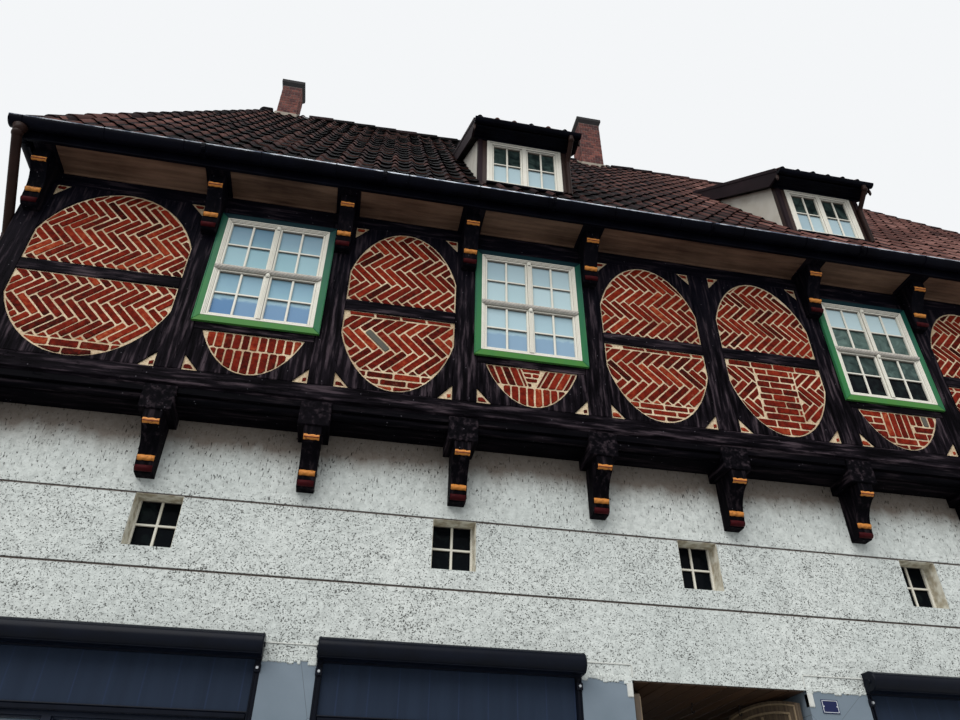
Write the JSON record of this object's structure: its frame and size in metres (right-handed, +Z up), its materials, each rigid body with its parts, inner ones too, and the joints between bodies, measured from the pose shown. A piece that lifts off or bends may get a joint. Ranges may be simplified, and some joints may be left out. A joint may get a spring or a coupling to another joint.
{
  "type": "half timbered house",
  "caption": "Hipped town house with a rendered masonry storey, shop fronts and a gate passage, and a jettied timber storey with curved braces, herringbone brick, brackets and dormers",
  "frame": {"origin": "on the ground, in the middle of the house's length and of its depth", "axes": "+X to the right along the street front, -Y out of the street front, +Z up"},
  "size_m": [14.3, 8.17, 14.7283],
  "materials": {
    "paving_concrete": "matt",
    "roughcast": "rough",
    "smooth_render": "matt",
    "passage_plaster": "matt",
    "brown_boards": "satin",
    "floor_boards": "matt",
    "shop_metal": "satin",
    "shop_glass": "gloss",
    "screen_metal": "satin",
    "awning_metal": "satin",
    "gate_iron": "matt",
    "gate_wood": "satin",
    "enamel": "gloss",
    "dark_timber": "satin",
    "red_brick": "matt",
    "green_paint": "gloss",
    "white_paint": "gloss",
    "window_glass": "gloss",
    "gutter_metal": "satin",
    "brown_metal": "satin",
    "pantiles": "satin",
    "brown_wood": "satin",
    "chimney_brick": "matt",
    "dark_cap": "matt"
  },
  "bodies": {
    "house": {"ground_floor": "paving_concrete", "side_walls": "roughcast", "ground_piers": "smooth_render", "wall_bands": "roughcast", "window_piers": "roughcast", "passage_walls": "passage_plaster", "passage_ceiling": "brown_boards", "upper_floors": "floor_boards", "shop_frames": "shop_metal", "shop_glass": "shop_glass", "shop_panels": "screen_metal", "awning_cassettes": "awning_metal", "gate_hinge_pins": "gate_iron", "number_plate": "enamel", "cross_beams": "dark_timber", "filler_beams": "dark_timber", "carved_brackets": "dark_timber", "sill_beams": "dark_timber", "posts": "dark_timber", "rails": "dark_timber", "curved_braces": "dark_timber", "brick_panels": "red_brick", "top_plates": "dark_timber", "window_surrounds": "green_paint", "window_frames": "white_paint", "window_glass": "window_glass", "tie_beams": "dark_timber", "soffit_boards": "brown_boards", "fascia_boards": "gutter_metal", "gutters": "gutter_metal", "downpipes": "brown_metal", "roof_front": "pantiles", "roof_back": "pantiles", "roof_hips": "pantiles", "ridge_tiles": "pantiles", "hip_tiles": "pantiles", "dormer_posts": "brown_wood", "dormer_cheeks": "smooth_render", "dormer_roofs": "pantiles", "dormer_verges": "brown_wood", "chimneys": "chimney_brick", "chimney_caps": "dark_cap"},
    "left_gate": {"left_gate_leaf": "gate_wood"},
    "right_gate": {"right_gate_leaf": "gate_wood"}
  },
  "joints": [
    {"name": "left_gate_swing", "type": "hinge", "parent": "house", "child": "left_gate", "pos_m": [-1.108, -3.097, 1], "axis": [0, 0, 1], "range_deg": [-70, 20]},
    {"name": "right_gate_swing", "type": "hinge", "parent": "house", "child": "right_gate", "pos_m": [0.368, -3.097, 1], "axis": [0, 0, 1], "range_deg": [-20, 70]}
  ]
}
